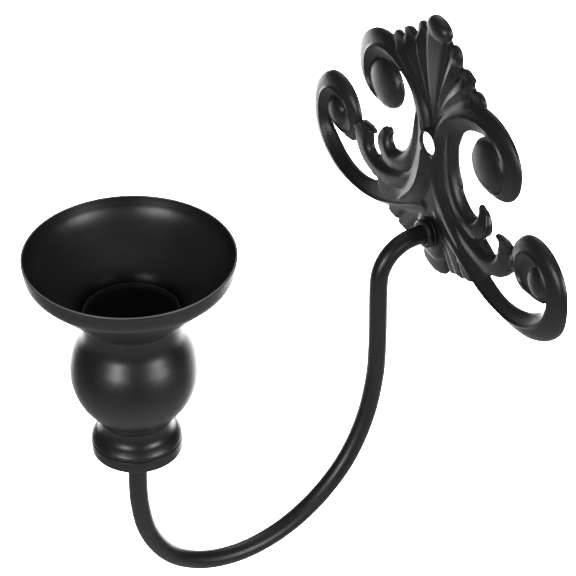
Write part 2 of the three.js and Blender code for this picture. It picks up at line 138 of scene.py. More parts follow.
SIDE_PETALS = [
    [[1.6, 53, 4.4, 1, 1], [3, 61, 5.4, 2, 1.8], [5.8, 70.5, 6.2, 4, 2.6], [9.8, 80, 6.9, 5.6, 3.4],
     [12.3, 86.5, 6.6, 6, 3.2], [12.6, 88.6, 6.0, 5.8, 3.0]],
    [[2.2, 53, 4.4, 1, 1], [5, 61.5, 5.4, 2, 1.8], [10.4, 69.6, 6.2, 4.4, 2.6],
     [17, 76.8, 6.9, 6.2, 3.4], [20.6, 80.6, 6.5, 6.4, 3.2], [21.4, 81.4, 5.9, 6, 3.0]],
    [[2.8, 52, 4.4, 1, 1], [6.6, 60.5, 5.4, 2, 1.8], [13.4, 66.8, 6.2, 4.4, 2.6],
     [21.8, 72.2, 6.8, 6.2, 3.4], [27, 74.6, 6.3, 6.4, 3.2], [28, 75.2, 5.7, 6, 3.0]],
]
# Domes: centre x and z, half axes, turn in degrees, height of the top, height of the foot.
TIP_DOMES = [
    [0, 97.5, 7.9, 4.9, 0, 7.3, 3.9],
    [11.3, 90.2, 4.3, 4.9, -18, 4.6, 3.9],
    [20.0, 83.4, 4.7, 4.8, -40, 4.6, 3.9],
    [28.4, 77.6, 4.5, 5.0, -55, 4.6, 3.9],
]
EYES = [
    [38.0, 52.8, 11.6, 10.9, 0, 6.8, 3.6],
    [76, 19.5, 6.3, 6.6, 0, 6.8, 4.4],
]
# Folds on each side of the tongue, highest first: [x, z] round the outline, and the height.
FACETS = [
    [[[8, 12], [16, 8], [24, 1], [31.5, -3], [32.5, -6.6], [30, -8], [25.6, -8.4], [15.3, 4.8],
      [10, 9]], 5.3],
    [[[8, 11], [15.3, 4.8], [25.6, -8.4], [24.6, -10.1], [22, -10.4], [19.6, -10.7], [10.5, 0.1],
      [6, 6]], 4.65],
    [[[4, 8], [10.5, 0.1], [19.6, -10.7], [17.6, -11.7], [15, -12.7], [7.6, -2.1], [3, 3]], 4.05],
]
SPINE = [
    [0, 60, 5.0, 4, 4], [0, 54, 5.2, 5, 5], [0, 48, 5.4, 6, 6], [0, 40, 5.2, 6, 6],
    [0, 31, 4.9, 6, 6], [0, 21, 4.8, 8, 8], [0, 12, 5.0, 11, 11], [0, 3, 5.1, 11, 11],
    [0, -4, 4.9, 9, 9],
]
TONGUE = [
    [0, 1, 4.6, 7, 7], [0, -5, 3.6, 7.4, 7.4], [0, -10, 2.6, 7.6, 7.6], [0, -13.3, 2.1, 7.6, 7.6],
]
TONGUE_FLAT_HEIGHT = TONGUE_RIM + 0.5
TONGUE_FLAT = [
    [-7.6, -2], [7.6, -2], [8.2, -9], [8.9, -14.5], [9.1, -16.8], [7.8, -18.7], [4.6, -20.2],
    [0, -20.8], [-4.6, -20.2], [-7.8, -18.7], [-9.1, -16.8], [-8.9, -14.5], [-8.2, -9],
]
# Flat webs that join the bands: [x, z] round each outline. Those round the eyes are flat domes.
TRUNK_WEB = [
    [0, 61], [7, 59], [11, 51], [13, 38], [16.5, 28], [24, 21], [37, 18], [44, 14], [46.5, 8.5],
    [45, 4.5], [40, 0], [25, 1.5], [12, 0], [0, 2],
]
FAN_WEB = [[0, 60], [0, 95], [7.4, 95.5], [13, 88.8], [23.4, 83.6], [32.6, 76], [28, 68], [15, 61]]
WEB_HEIGHT = 4.4
EYE_FLATS = [[39, 53.3, 12.7, 12.5, 0, 3.8, 3.8], [73.5, 20.5, 10, 10, 0, 4.5, 4.5]]


def smooth_rows(rows, per):
    """Catmull-Rom through the rows, with per points to each span."""
    r = np.array(rows, float)
    r = np.vstack([2 * r[0] - r[1], r, 2 * r[-1] - r[-2]])
    t = np.linspace(0, 1, per, endpoint=False)[:, None]
    out = []
    for i in range(1, len(r) - 2):
        a, b, c, d = r[i - 1:i + 3]
        out.append((2 * b + (c - a) * t + (2 * a - 5 * b + 4 * c - d) * t**2
                    + (3 * b - a - 3 * c + d) * t**3) / 2)
    out.append(r[-2:-1])
    return np.vstack(out)


def lengths_along(line):
    """Distance of each point of a line from its start."""
    return np.concatenate([[0], np.cumsum(np.hypot(*np.diff(line, axis=0).T))])


def evenly(line, spacing, closed=True):
    """The same line with evenly spaced points."""
    pts = np.vstack([line, line[:1]]) if closed else line
    along = lengths_along(pts)
    n = max(3, int(round(along[-1] / spacing)))
    at = np.linspace(0, along[-1], n + 1)
    if closed:
        at = at[:-1]
    return np.stack([np.interp(at, along, pts[:, k]) for k in (0, 1)], axis=1)


def left_of(line):
    """Unit normals on the left of an open line's travel."""
    dx, dz = np.gradient(line, axis=0).T
    return np.stack([-dz, dx], 1) / np.hypot(dx, dz)[:, None]


def nearest(line, x, z):
    """Row at the nearest place of a line, distance to it, and side: 1 is left of its travel."""
    best = np.full(x.shape, np.inf)
    row = np.zeros(x.shape + (line.shape[1],))
    side = np.ones(x.shape)
    for a, b in zip(line[:-1], line[1:]):
        dx, dz = b[0] - a[0], b[1] - a[1]
        t = np.clip(((x - a[0]) * dx + (z - a[1]) * dz) / (dx * dx + dz * dz), 0, 1)
        px, pz = x - a[0] - t * dx, z - a[1] - t * dz
        d = px * px + pz * pz
        near = d < best
        best = np.where(near, d, best)
        row[near] = (a + t[..., None] * (b - a))[near]
        side = np.where(near, np.where(dx * pz - dz * px >= 0, 1, -1), side)
    return row, np.sqrt(best), side


def smooth_max(a, b, k):
    """The higher of two heights, blended where they differ by less than k."""
    h = np.clip(0.5 + 0.5 * (a - b) / k, 0, 1)
    return b + (a - b) * h + k * h * (1 - h)


def step01(t):
    """0 to 1 with a soft start and a soft end."""
    t = np.clip(t, 0, 1)
    return t * t * (3 - 2 * t)


def quarter_round(t):
    """0 to 1 along a quarter circle, upright at 0 and level at 1."""
    t = np.clip(t, 0, 1)
    return np.sqrt(1 - (1 - t) ** 2)


def ridge(distance, width):
    """A fine raised line: 1 on its crest, falling away on both sides."""
    return np.exp(-((distance / width) ** 2))


class Band:
    """A raised leaf along a crest line. left and right are (p, q) of its flanks, 1 - u^p to the q,
    down to its foot. lip is the height of its right edge where it lies on the leaf below, with a
    fine raised line of height rise along it. bead is a fine raised line on its crest. ease is the
    length over which its start takes shape."""

    PER_SPAN = 8
    END_EASE = 6
    BEAD_WIDTH = 0.5
    LIP_BELOW_CREST = 0.2
    LIP_FALL = 4.0
    RISE_IN, RISE_WIDTH = 0.35, 0.4
    SPARE = 4  # how far past its widest half width it is worked out

    def __init__(self, rows, left=(2, 0.6), right=(2, 0.6), lip=None, bead=0.0, foot=RIM, ease=8.0,
                 rise=0.35):
        line = smooth_rows(rows, self.PER_SPAN)
        along = lengths_along(line[:, :2])
        fade = step01(along / ease) * step01((along[-1] - along) / self.END_EASE)
        self.line = np.column_stack([line, fade])
        self.left, self.right, self.lip, self.bead = left, right, lip, bead
        self.foot, self.rise = foot, rise
        self.reach = line[:, 3:5].max() + self.SPARE

    def at(self, x, z):
        """Height and inside distance from the band's edge."""
        height = np.full(x.shape, FAR)
        margin = np.full(x.shape, FAR)
        low, high = self.line[:, :2].min(0) - self.reach, self.line[:, :2].max(0) + self.reach
        near = (x > low[0]) & (x < high[0]) & (z > low[1]) & (z < high[1])
        if not near.any():
            return height, margin
        row, d, side = nearest(self.line, x[near], z[near])
        crest, fade = row[:, 2], row[:, 5]
        on_left = side > 0
        width = np.where(on_left, row[:, 3], row[:, 4])
        p = np.where(on_left, self.left[0], self.right[0])
        q = np.where(on_left, self.left[1], self.right[1])
        shape = (1 - np.clip(d / width, 0, 1) ** p) ** q
        foot = np.full(d.shape, self.foot)
        fall = np.full(d.shape, OUTER_FALL)
        raised = np.zeros(d.shape)
        if self.lip is not None:
            lip = np.minimum(self.lip, crest - self.LIP_BELOW_CREST)
            foot = np.where(on_left, foot, foot + (lip - foot) * fade)
            fall = np.where(on_left, fall, self.LIP_FALL)
            edge_line = self.rise * fade * ridge(d - width + self.RISE_IN, self.RISE_WIDTH)
            raised = np.where(on_left, 0, edge_line)
        raised = raised + fade * self.bead * ridge(d, self.BEAD_WIDTH)
        h = foot + (np.maximum(crest, foot) - foot) * shape + raised
        height[near] = h - np.maximum(d - width, 0) * fall
        margin[near] = width - d
        return height, margin

    def lip_line(self):
        """The band's right edge."""
        return self.line[:, :2] - left_of(self.line[:, :2]) * self.line[:, 4:5]


class Dome:
    """An ellipse in the plate's plane, domed from its foot to its top."""

    def __init__(self, x, z, rx, rz, turn, top, foot):
        self.c, self.r, self.turn = (x, z), (rx, rz), math.radians(turn)
        self.top, self.foot = top, foot

    def at(self, x, z):
        """Height and inside distance from the ellipse."""
        dx, dz = x - self.c[0], z - self.c[1]
        co, si = math.cos(self.turn), math.sin(self.turn)
        rho = np.hypot((dx * co + dz * si) / self.r[0], (dz * co - dx * si) / self.r[1])
        inside = (1 - rho) * min(self.r)
        h = self.foot + (self.top - self.foot) * np.sqrt(np.clip(1 - rho**2, 0, 1))
        return h + np.minimum(inside, 0) * OUTER_FALL, inside


class Web:
    """A flat region with a straight-sided outline."""

    def __init__(self, outline, height):
        self.line = np.array(outline + outline[:1], float)
        self.height = height

    def at(self, x, z):
        """Height and inside distance from the outline."""
        inside = np.zeros(x.shape, bool)
        for (ax, az), (bx, bz) in zip(self.line[:-1], self.line[1:]):
            if az == bz:
                continue
            cross = ax + (z - az) * (bx - ax) / (bz - az)
            inside ^= ((az > z) != (bz > z)) & (x < cross)
        _, d, _ = nearest(self.line, x, z)
        margin = np.where(inside, d, -d)
        return self.height + np.minimum(margin, 0) * OUTER_FALL, margin


def plate_layers():
    """Every layer of the relief, lowest first, with how softly it blends into what is below."""
    layers = [(Web(TRUNK_WEB, WEB_HEIGHT), 0.6), (Web(FAN_WEB, WEB_HEIGHT), 0.6)]
    layers += [(Dome(*e), 0.6) for e in EYE_FLATS]
    layers.append((Band(SPINE, (4, 1), (4, 1)), 0.8))
    layers.append((Web(TONGUE_FLAT, TONGUE_FLAT_HEIGHT), 0.5))
    layers.append((Band(TONGUE, (2, 0.55), (2, 0.55), foot=TONGUE_RIM), 0.8))
    layers += [(Web(outline, height), 0.15) for outline, height in FACETS[::-1]]
    layers += [(Band(rows, (1.1, 1), (1, 1), lip=5.4, rise=0), 0.12) for rows in SIDE_PETALS[::-1]]
    layers.append((Band(TOP_PETAL, (9, 1), (9, 1)), 0.15))
    layers += [(Dome(*d), 0.4) for d in TIP_DOMES[::-1]]
    layers += [(Dome(*e), 0.5) for e in EYES]
    layers.append((Band(LOWER, (1.2, 0.9), (2, 0.6), bead=0.7), 0.5))
    layers.append((Band(BRANCH, (2.6, 1), (1.5, 0.9), lip=5.7, ease=26), 0.4))
    layers.append((Band(CLAW, (2.6, 1), (1.5, 0.9), lip=5.9, ease=12), 0.3))
    layers.append((Band(SCROLL, (1.6, 0.8), (1.0, 0.9), bead=0.75), 0.8))
    return layers


LAYERS = plate_layers()


def rim_level(x, z):
    """Front height of the plate's edge, away from the screw hole and the bar."""
    on_tongue = step01((TONGUE_TOP - z) / TONGUE_SLOPE) * step01((TONGUE_SIDE - x) / TONGUE_SIDE_SLOPE)
    eye = np.hypot(x - DIP_CENTRE[0], z - DIP_CENTRE[1])
    return RIM + (TONGUE_RIM - RIM) * on_tongue - DIP_DEPTH * step01((DIP_R - eye) / DIP_SLOPE)


def relief(x, z):
    """Front height, back height and inside distance from the plate's outline, both sides alike."""
    x = np.abs(x)
    height = np.full(x.shape, FAR)
    margin = np.full(x.shape, FAR)
    for layer, soft in LAYERS:
        h, m = layer.at(x, z)
        height = smooth_max(height, h, soft)
        margin = np.maximum(margin, m)
    boss = np.hypot(x, z - HOLE_Z)
    ring = BOSS_HEIGHT + RING_RISE * ridge(boss - HOLE_R - RING_OUT, RING_WIDTH)
    height = height + (ring - height) * step01((BOSS_R - boss) / BOSS_FLANK)
    seat = np.hypot(x, z)
    height = height + (SEAT_HEIGHT - height) * step01((SEAT_R + SEAT_FLANK - seat) / SEAT_FLANK)
    margin = np.minimum(margin, boss - HOLE_R)
    margin = np.minimum(margin, seat - BAR_HOLE_R)
    rim = np.where(boss < BOSS_R, height, rim_level(x, z))
    rim = np.where(seat < SEAT_R, SEAT_HEIGHT, rim)
    height = np.maximum(height, rim)
    back = rim + (height - rim) * quarter_round((margin - BACK_INSET) / BACK_R) - SHEET
    front = rim + (height - rim) * quarter_round(margin / EDGE_R)
    front = front - EDGE_DROP * (1 - quarter_round(margin / EDGE_BREAK))
    return front, np.minimum(back, front - THINNEST), margin


# ---- the plate's mesh (mm) ----
# The outline is found on a grid, shifted so that no grid point lies on the centre line.
GRID_X, GRID_Z, GRID_PITCH, GRID_SHIFT = (-98, 98), (-22, 106), 0.4, (0.013, 0.017)
SHORTEST_LOOP = 8  # in grid crossings
LINE_SPACING, LIP_SPACING = 0.62, 0.5
RING_DEPTHS = (0.25, 0.6, 1.1)  # rows of points inside the outline
RING_KEEP = 0.7  # such a point stays where it is this share of its depth inside every outline
CREST_OFFSETS = (-0.9, -0.45, 0.45, 0.9)  # rows of points beside each crest
FIELD_X, FIELD_Z, FIELD_STEP = (-97, 97), (-20, 105), (0.8, 0.7)  # points over the whole plate
LINE_GAP, FIELD_GAP, EDGE_GAP = 0.22, 0.42, 0.15  # least distances to other points and to the edge
MERGE = 1e-4
LAST_CELL = 1.001  # keeps a place inside the grid's last cell
PLATE_CREASE = 40  # degrees


def outline_grid():
    """Places across the plate and up it, and the inside distance at each."""
    xs = np.arange(GRID_X[0], GRID_X[1] + GRID_PITCH / 2, GRID_PITCH) + GRID_SHIFT[0]
    zs = np.arange(GRID_Z[0], GRID_Z[1] + GRID_PITCH / 2, GRID_PITCH) + GRID_SHIFT[1]
    return xs, zs, relief(*np.meshgrid(xs, zs, indexing="ij"))[2]


def outline_links(xs, zs, g):
    """Marching squares: each crossed grid edge, with its point and the edges it joins."""
    inside = g > 0
    links = {}

    def crossing(a, b):
        t = g[a] / (g[a] - g[b])
        return (xs[a[0]] + t * (xs[b[0]] - xs[a[0]]), zs[a[1]] + t * (zs[b[1]] - zs[a[1]]))

    filled = inside[:-1, :-1].astype(int) + inside[1:, :-1] + inside[1:, 1:] + inside[:-1, 1:]
    for i, j in zip(*np.nonzero((filled > 0) & (filled < 4))):
        corners = [(i, j), (i + 1, j), (i + 1, j + 1), (i, j + 1)]
        cut = [tuple(sorted(pair)) for pair in zip(corners, corners[1:] + corners[:1])
               if inside[pair[0]] != inside[pair[1]]]
        for a, b in zip(cut[::2], cut[1::2]):
            links.setdefault(a, [crossing(*a)]).append(b)
            links.setdefault(b, [crossing(*b)]).append(a)
    return links


def outline_loops(links):
    """Closed outlines of the plate, following the links round."""
    loops = []
    while links:
        key = next(iter(links))
        loop = []
        while key is not None:
            point, *joined = links.pop(key)
            loop.append(point)
            key = next((k for k in joined if k in links), None)
        if len(loop) > SHORTEST_LOOP:
            loops.append(np.array(loop))
    return loops


def inward(loop, distance):
    """Points of a closed loop moved along its normal, on the side where the plate is."""
    d = np.roll(loop, -1, 0) - np.roll(loop, 1, 0)
    n = np.stack([-d[:, 1], d[:, 0]], 1) / np.hypot(*d.T)[:, None]
    out = [loop + n * distance, loop - n * distance]
    inside = [relief(p[:, 0], p[:, 1])[2] for p in out]
    moved = np.where((inside[0] > inside[1])[:, None], out[0], out[1])
    keep = np.maximum(*inside) > distance * RING_KEEP
    return moved[keep]


class Spread:
    """Points of the plate, filed in square cells so that a new one can keep its distance."""

    CELL = 0.5

    def __init__(self, points):
        self.points = []
        self.cells = {}
        for p in points:
            self.add(p)

    def cell(self, p):
        return int(p[0] // self.CELL), int(p[1] // self.CELL)

    def add(self, p):
        self.points.append(p)
        self.cells.setdefault(self.cell(p), []).append(p)

    def crowded(self, p, gap):
        i, j = self.cell(p)
        for a in (i - 1, i, i + 1):
            for b in (j - 1, j, j + 1):
                for q in self.cells.get((a, b), ()):
                    if (p[0] - q[0]) ** 2 + (p[1] - q[1]) ** 2 < gap * gap:
                        return True
        return False

    def fill(self, group, gap):
        """Adds the points of a group that lie on the plate and clear of the others."""
        inside = relief(group[:, 0], group[:, 1])[2] > EDGE_GAP
        for p in group[inside]:
            if not self.crowded(p, gap):
                self.add(tuple(p))


def plate_lines(rings):
    """Outlines and crests as fixed points and edges, and groups of free points that follow them."""
    fixed, edges = [], []

    def add_line(points, closed):
        base, n = len(fixed), len(points)
        fixed.extend(map(tuple, points))
        edges.extend((base + k, base + (k + 1) % n) for k in range(n if closed else n - 1))

    for ring in rings:
        add_line(ring, True)
    free = [inward(ring, depth) for ring in rings for depth in RING_DEPTHS]
    for band in (layer for layer, _ in LAYERS if isinstance(layer, Band)):
        crest = evenly(band.line[:, :2], LINE_SPACING, closed=False)
        normal = left_of(crest)
        on_centre_line = not crest[:, 0].any()
        for side in ((1,) if on_centre_line else (1, -1)):
            mirror = np.array([side, 1.0])
            add_line(crest * mirror, False)
            free += [(crest + normal * d) * mirror for d in CREST_OFFSETS]
            if band.lip is not None:
                free.append(evenly(band.lip_line(), LIP_SPACING, closed=False) * mirror)
    return fixed, edges, free


def field_points():
    """A staggered field of points over the whole plate."""
    return np.array([
        (x + (k % 2) * FIELD_STEP[0] / 2, z)
        for k, z in enumerate(np.arange(*FIELD_Z, FIELD_STEP[1]))
        for x in np.arange(*FIELD_X, FIELD_STEP[0])
    ])


def grid_value(xs, zs, g, points):
    """The grid's value at each point, between its four neighbours."""
    i = np.clip((points[:, 0] - xs[0]) / GRID_PITCH, 0, len(xs) - LAST_CELL)
    j = np.clip((points[:, 1] - zs[0]) / GRID_PITCH, 0, len(zs) - LAST_CELL)
    a, b = i.astype(int), j.astype(int)
    u, v = i - a, j - b
    return (g[a, b] * (1 - u) * (1 - v) + g[a + 1, b] * u * (1 - v)
            + g[a, b + 1] * (1 - u) * v + g[a + 1, b + 1] * u * v)


def plate_piece():
    """The plate as one thin closed sheet, its triangles following the outline and the crests."""
    xs, zs, g = outline_grid()
    rings = [evenly(loop, LINE_SPACING) for loop in outline_loops(outline_links(xs, zs, g))]
    fixed, edges, free = plate_lines(rings)
    spread = Spread(fixed)
    for group in free:
        spread.fill(group, LINE_GAP)
    spread.fill(field_points(), FIELD_GAP)
    points = [Vector(p) for p in spread.points]
    flat, _, faces, *_ = delaunay_2d_cdt(points, edges, [], 0, MERGE, False)
    flat = np.array([(p.x, p.y) for p in flat])
    faces = np.array(faces)
    faces = faces[grid_value(xs, zs, g, flat[faces].mean(1)) > 0].tolist()
    front, back, _ = relief(flat[:, 0], flat[:, 1])
    n = len(flat)
    verts = np.vstack([
        np.stack([flat[:, 0], -front, flat[:, 1]], 1),
        np.stack([flat[:, 0], -back, flat[:, 1]], 1),
    ]) * MM
    sides = dict.fromkeys((f[k], f[(k + 1) % 3]) for f in faces for k in range(3))
    walls = [(b, a, a + n, b + n) for a, b in sides if (b, a) not in sides]  # round every edge
    rear = [[v + n for v in f[::-1]] for f in faces]
    return make_piece("pressed_plate", verts, faces + rear + walls, PLATE_CREASE)


def link_object(name, data):
    """A new object with its data, in the scene."""
    obj = bpy.data.objects.new(name, data)
    bpy.context.scene.collection.objects.link(obj)
    return obj


def make_piece(name, verts, faces, crease):
    """A smooth-shaded object from metres, with loose points dropped and normals facing out.
    Edges that turn by more than crease degrees stay sharp."""
    mesh = bpy.data.meshes.new(name)
    mesh.from_pydata([tuple(v) for v in verts], [], faces)
    bm = bmesh.new()
    bm.from_mesh(mesh)
    bmesh.ops.delete(bm, geom=[v for v in bm.verts if not v.link_faces], context="VERTS")
    bmesh.ops.recalc_face_normals(bm, faces=bm.faces)
    for e in bm.edges:
        e.smooth = not (e.is_manifold and e.calc_face_angle(0) > math.radians(crease))
    for f in bm.faces:
        f.smooth = True
    bm.to_mesh(mesh)
    bm.free()
    return link_object(name, mesh)


# ---- turned pieces (mm) ----
STUD_R = 3.0
CLEARANCE = 0.3
BORE_R = STUD_R + CLEARANCE  # holes for the stud
BAR_BORE_R = BAR_R + CLEARANCE
ARC_STEP = math.radians(12)
LONGEST_CUT = 0.49  # share of a corner's shorter side that its arc may take
WALL = 1.4  # of the foot and the ball
WAIST_R = 14.75  # where the foot meets the ball
BALL_Z, BALL_HALF = -16.9, 26.6  # height of the ball's widest ring, and its half height
NECK_R = 19.75  # where the ball meets the dish
RIM_EDGE_R = 0.42
LEDGE_Z, SOCKET_R, WELL_R, SLEEVE_WALL = -10.0, 18.0, 9.4, 0.7
SLEEVE_TOP, SLEEVE_LIP_R = 11.05, 19.3
TURNED_CREASE = 45  # degrees


def on_axis(x, y, h, along, centre):
    """A point at height h along an axis through centre, in metres."""
    if along == Z:
        return ((centre[0] + x) * MM, (centre[1] + y) * MM, h * MM)
    return ((centre[0] + x) * MM, h * MM, (centre[1] + y) * MM)


def rounded(profile):
    """A closed profile of [r, z] or [r, z, radius]: corners with a radius become arcs."""
    out = []
    n = len(profile)
    for k, row in enumerate(profile):
        p = Vector(row[:2])
        if len(row) == 2:
            out.append((p.x, p.y))
            continue
        a, b = Vector(profile[k - 1][:2]) - p, Vector(profile[(k + 1) % n][:2]) - p
        longest = min(a.length, b.length) * LONGEST_CUT
        a.normalize()
        b.normalize()
        half = a.angle(b) / 2
        cut = min(row[2] / math.tan(half), longest)
        centre = p + (a + b).normalized() * (cut / math.cos(half))
        start, end = p + a * cut - centre, p + b * cut - centre
        turn = start.angle_signed(end)
        steps = max(3, int(abs(turn) / ARC_STEP))
        for s in range(steps + 1):
            co, si = math.cos(turn * s / steps), -math.sin(turn * s / steps)
            out.append((centre.x + start.x * co - start.y * si, centre.y + start.x * si + start.y * co))
    return out


def smooth_profile(points, per=8):
    return [tuple(p) for p in smooth_rows(points, per)]


def turned(name, profile, sides=160, along=Z, centre=CUP):
    """A solid of revolution from a closed profile of [r, height]."""
    verts, faces = [], []
    m = len(profile)
    for k in range(sides):
        w = 2 * math.pi * k / sides
        verts += [on_axis(r * math.cos(w), r * math.sin(w), h, along, centre) for r, h in profile]
    for k in range(sides):
        for i in range(m):
            a, b = k * m + i, k * m + (i + 1) % m
            c, d = (b + m) % (sides * m), (a + m) % (sides * m)
            faces.append((a, b, c, d))
    return make_piece(name, verts, faces, TURNED_CREASE)


def base_piece():
    """Flat round disc under the foot."""
    return turned("foot_plate", rounded([
        [BORE_R, BASE_LOW], [BASE_R, BASE_LOW, 0.6], [BASE_R, BASE_HIGH, 0.35], [BORE_R, BASE_HIGH],
    ]))


def foot_piece():
    """Bell-shaped foot, hollow and open below."""
    low, top = FOOT_LOW, FOOT_HIGH
    outer = smooth_profile([
        [18.3, low], [18.5, low + 0.5], [18.4, low + 1.3], [17.95, low + 2.2], [17.1, low + 3.3],
        [15.9, low + 4.6], [15.1, low + 6.2], [WAIST_R, low + 8.2], [WAIST_R, top + 0.2],
    ])
    inner = [(BORE_R, top), (BORE_R, top - WALL), (13.0, top - WALL), (13.2, low + 6.6),
             (14.2, low + 4), (15.4, low + 2), (16.6, low)]
    return turned("foot", outer + inner)


def ball_piece():
    """Hollow ball with a rounded foot and an open neck."""
    def wall_of(r, half, low, high, count):
        return [(r * math.sqrt(1 - ((z - BALL_Z) / half) ** 2), z)
                for z in np.linspace(low, high, count)]

    floor_z = BALL_LOW + WALL
    outer = [(WAIST_R, BALL_LOW), (15.2, BALL_LOW + 0.6), (15.95, BALL_LOW + 1.4)]
    outer += wall_of(BALL_R, BALL_HALF, -38, -6.6, 38)
    outer += smooth_profile([
        [23.2, -5.4], [22.25, -3.6], [21.3, -1.9], [20.6, -0.4], [20.12, 1.2], [19.85, 3.0],
        [NECK_R, 5.0], [NECK_R, BALL_HIGH + 0.15],
    ], 5)
    inner = [(19.0, BALL_HIGH), (19.0, 2.6)]
    inner += wall_of(BALL_R - WALL, BALL_HALF - WALL, -4.5, floor_z, 24)
    return turned("ball_shell", outer + inner + [(BORE_R, floor_z), (BORE_R, BALL_LOW)])


def dish_piece():
    """Flared dish with a short upright lip, a rounded rim and a deep throat."""
    low, top, r = DISH_LOW, DISH_HIGH, DISH_R
    outer = smooth_profile([
        [r - 0.08, top - 0.7], [42.15, top - 2.2], [41.85, top - 4.7], [41.35, top - 6.6],
        [40.35, top - 8.3], [38.6, top - 10.1], [33.3, top - 15.5], [28.2, top - 20.5],
        [25.1, top - 23.4], [22.8, top - 25.7], [21.3, top - 27.4], [20.4, top - 29], [20.0, low],
    ], 6)
    inner = smooth_profile([
        [19.3, low], [19.5, top - 28.4], [20.15, top - 26.3], [21.4, top - 24.1], [23.2, top - 22.2],
        [26.2, top - 19.8], [32, top - 15.2], [36.1, top - 11.1], [38.7, top - 8.0],
        [40.3, top - 5.2], [41.0, top - 2.8], [r - 0.93, top - 0.7],
    ], 6)
    edge_r, edge_z = r - 0.5, top - RIM_EDGE_R
    edge = [(edge_r + RIM_EDGE_R * math.cos(a), edge_z + RIM_EDGE_R * math.sin(a))
            for a in np.linspace(math.pi, 0, 9)]
    return turned("dish_shell", outer + inner + edge, sides=224)


def sleeve_piece():
    """Candle socket: a sleeve with a ledge, a narrower well below it and a flared lip."""
    low, wall = SLEEVE_LOW, SLEEVE_WALL
    return turned("socket", rounded([
        [SOCKET_R + wall, 8.2, 0.2], [SOCKET_R + wall, LEDGE_Z - wall, 0.6],
        [WELL_R + wall, LEDGE_Z - wall], [WELL_R + wall, low, 0.8], [BORE_R, low],
        [BORE_R, low + wall], [WELL_R, low + wall, 0.6], [WELL_R, LEDGE_Z, 0.4],
        [SOCKET_R, LEDGE_Z, 0.4], [SOCKET_R, 7.6], [18.35, 9.4, 1.5], [19.0, SLEEVE_TOP, 0.15],
        [SLEEVE_LIP_R, SLEEVE_TOP, 0.12],
    ]), sides=128)


# ---- nuts and washers (mm) ----
REAR_WASHER_R, CUP_WASHER_R = 7.9, 8.5
REAR_NUT_ACROSS, CUP_NUT_ACROSS = 13.0, 10.0
NUT_SIDES, NUT_CHAMFER = 72, 0.35
NUT_THREAD_PITCH, NUT_THREAD_DEPTH = 0.8, 0.25
NUT_FACE = 1.02  # radius of its end faces against half its width
NUT_CREASE = 25  # degrees
SMALL_SIDES = 96
BAR_AXIS = (0, 0)


def collar_piece():
    """Round lock nut against the plate's front."""
    r = COLLAR_R
    front, back = span("front_collar", Y)
    return turned("lock_nut", rounded([
        [BAR_BORE_R, front], [r - 1.0, front, 0.3], [r, front + 0.6, 0.3], [r, back - 0.5, 0.3],
        [r - 0.6, back, 0.2], [BAR_BORE_R, back],
    ]), SMALL_SIDES, Y, BAR_AXIS)


def washer_piece(name, node, r, bore, along, centre, back_edge=0.25):
    """Flat washer with rounded edges."""
    low, high = span(node, along)
    return turned(name, rounded([
        [bore, low], [r, low, 0.3], [r, high, back_edge], [bore, high],
    ]), SMALL_SIDES, along, centre)


def hex_piece(name, node, across, bore, along, centre):
    """A hexagonal nut with chamfered corners and fine rings for the thread in its bore."""
    low, high = span(node, along)
    half = across / 2
    corner = half / math.cos(math.pi / 6)
    angles = [2 * math.pi * k / NUT_SIDES for k in range(NUT_SIDES)]
    flats = [half / math.cos((w % (math.pi / 3)) - math.pi / 6) for w in angles]
    face = half * NUT_FACE
    levels = [(low, face), (low + NUT_CHAMFER, corner), (high - NUT_CHAMFER, corner), (high, face)]
    rings = [(h, [min(flat, widest) for flat in flats]) for h, widest in levels]
    steps = 2 * max(2, int((high - low) / NUT_THREAD_PITCH))
    for i in range(steps + 1):
        groove = NUT_THREAD_DEPTH if i % 2 == 0 else 0
        rings.append((high - (high - low) * i / steps, [bore + groove] * NUT_SIDES))
    verts = [on_axis(r * math.cos(w), r * math.sin(w), h, along, centre)
             for h, radii in rings for w, r in zip(angles, radii)]
    faces = []
    for i in range(len(rings)):
        a, b = i * NUT_SIDES, (i + 1) % len(rings) * NUT_SIDES
        for k in range(NUT_SIDES):
            onward = (k + 1) % NUT_SIDES
            faces.append((a + k, a + onward, b + onward, b + k))
    return make_piece(name, verts, faces, NUT_CREASE)


# ---- bent bar (mm) ----
BAR_OUT, BEND_R = 12.7, 17.0
BEND_STEPS, SWEEP_STEPS, BAR_SPACING, BAR_SIDES = 6, 16, 1.2, 48
BAR_CHAMFER = 0.4
BAR_CREASE = 35  # degrees
STUD_PITCH, STUD_GROOVE = 0.5, 0.28
STUD_FILLET, STUD_CHAMFER, STUD_TIP = (0.4, 0.3), 0.8, 0.6
# The sweep after the bend, as [y, z]: down the drop, round the big curve and up into the cup.
SWEEP = [
    [-29.7, -50], [-30.6, -66], [-35.2, -87], [-45, -107], [-60.5, -123], [-79, -133],
    [-98.5, -136.2], [-117, -132.5], [-132, -122.5], [-142, -106.5], [CUP_Y, -88], [CUP_Y, -57.2],
]


